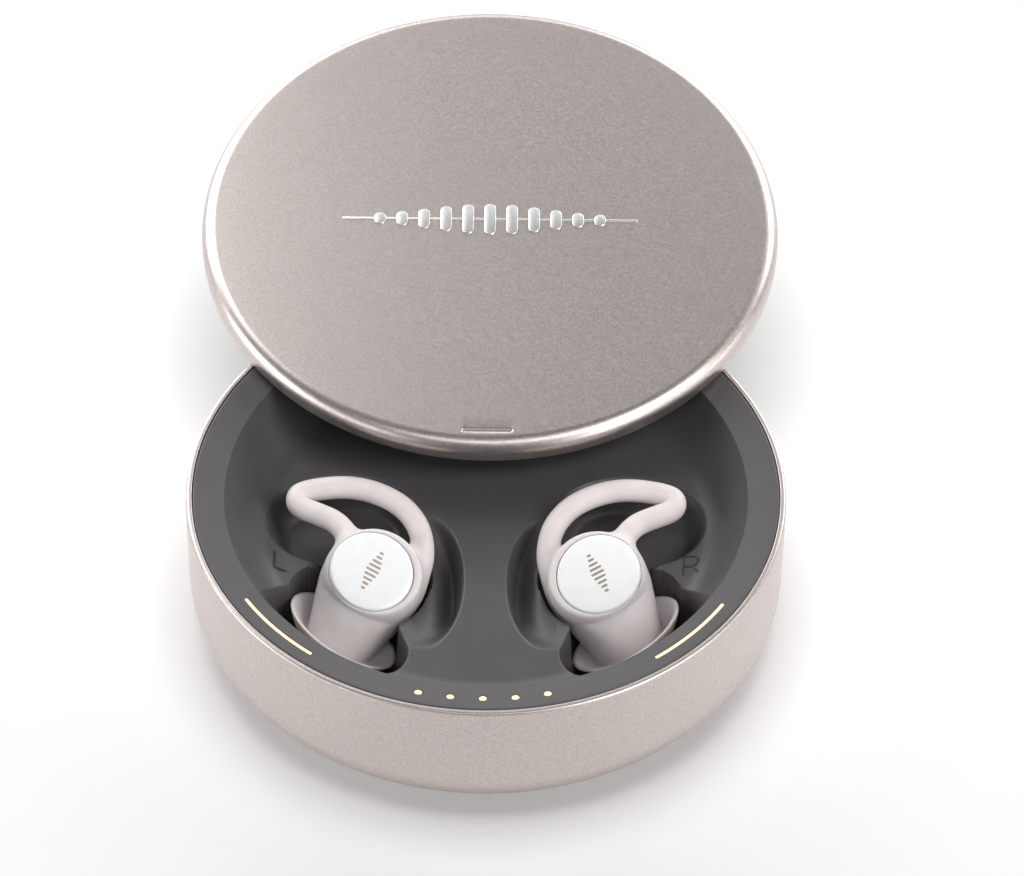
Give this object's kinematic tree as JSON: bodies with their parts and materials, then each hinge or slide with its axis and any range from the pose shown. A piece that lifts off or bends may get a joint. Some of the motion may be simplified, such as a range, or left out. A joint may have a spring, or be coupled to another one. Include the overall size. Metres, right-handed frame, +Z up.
{
  "type": "wireless earbuds case",
  "caption": "Round low metal drum with a lid that slides back on curved rails, charging wells for two winged earbuds, and a row of battery lights at the front.",
  "frame": {"origin": "centre of the foot pad's underside, where the drum stands", "axes": "+Z up, -Y to the front where the battery lights are, +Y to the rear where the lid slides, +X to the right earbud"},
  "size_m": [0.076, 0.1195, 0.0303],
  "materials": {
    "anodised_alloy": "bead-blasted, warm silver",
    "tray_plastic": "satin dark grey",
    "cover_plastic": "matte warm grey",
    "foot_rubber": "matte",
    "light_pipe": "diffuse, lit warm white",
    "circuit_board": "solder mask",
    "chip": "moulded",
    "battery_foil": "pouch foil",
    "steel": "machined",
    "brass": "machined",
    "magnet": "nickel-plated",
    "acetal": "low-friction moulding",
    "polished_mark": "polished",
    "silicone": "soft-touch, pale warm grey",
    "cap_white": "satin white",
    "bud_plastic": "moulded",
    "gold": "gold-plated",
    "spout_mesh": "fine wire mesh"
  },
  "bodies": {
    "base": {"base_shell": "anodised_alloy", "bottom_cover": "cover_plastic", "foot_pad": "foot_rubber", "tray": "tray_plastic", "light_board": "circuit_board", "main_board": "circuit_board", "lid_sensor": "chip", "battery": "battery_foil", "usb_socket": "steel", "usb_tongue": "chip", "base_magnet_left": "magnet", "base_magnet_right": "magnet", "guide_bracket": "steel", "left_guide_shoe": "acetal", "right_guide_shoe": "acetal", "left_contact_block": "tray_plastic", "right_contact_block": "tray_plastic", "left_charge_light": "light_pipe", "right_charge_light": "light_pipe", "battery_light_1": "light_pipe", "battery_light_2": "light_pipe", "battery_light_3": "light_pipe", "battery_light_4": "light_pipe", "battery_light_5": "light_pipe", "case_screw_1": "steel", "screw_post_1": "brass", "case_screw_2": "steel", "screw_post_2": "brass", "case_screw_3": "steel", "screw_post_3": "brass"},
    "lid": {"lid_shell": "anodised_alloy", "lid_liner": "tray_plastic", "left_lid_rail": "acetal", "right_lid_rail": "acetal", "lid_magnet_left": "magnet", "lid_magnet_right": "magnet", "lid_mark": "polished_mark"},
    "left_earbud": {"left_ear_tip": "silicone", "left_bud_cap": "cap_white", "left_bud_housing": "bud_plastic", "left_bud_battery": "steel", "left_bud_board": "circuit_board", "left_driver": "magnet", "left_spout_mesh": "spout_mesh", "left_bud_contact_1": "gold", "left_bud_contact_2": "gold"},
    "left_contacts": {"left_charge_pins": "gold"},
    "right_earbud": {"right_ear_tip": "silicone", "right_bud_cap": "cap_white", "right_bud_housing": "bud_plastic", "right_bud_battery": "steel", "right_bud_board": "circuit_board", "right_driver": "magnet", "right_spout_mesh": "spout_mesh", "right_bud_contact_1": "gold", "right_bud_contact_2": "gold"},
    "right_contacts": {"right_charge_pins": "gold"}
  },
  "joints": [
    {"name": "lid_slide", "type": "hinge", "parent": "base", "child": "lid", "pos_m": [0, 0, 0.4265], "axis": [-1, 0, 0], "range_deg": [0, 6.2]},
    {"name": "left_earbud_lift", "type": "slide", "parent": "base", "child": "left_earbud", "axis": [0, 0, 1], "range_m": [0, 0.045]},
    {"name": "left_contact_travel", "type": "slide", "parent": "base", "child": "left_contacts", "axis": [0, 0, 1], "range_m": [-0.00045, 0], "stiffness_N_per_m": 200},
    {"name": "right_earbud_lift", "type": "slide", "parent": "base", "child": "right_earbud", "axis": [0, 0, 1], "range_m": [0, 0.045]},
    {"name": "right_contact_travel", "type": "slide", "parent": "base", "child": "right_contacts", "axis": [0, 0, 1], "range_m": [-0.00045, 0], "stiffness_N_per_m": 200}
  ]
}
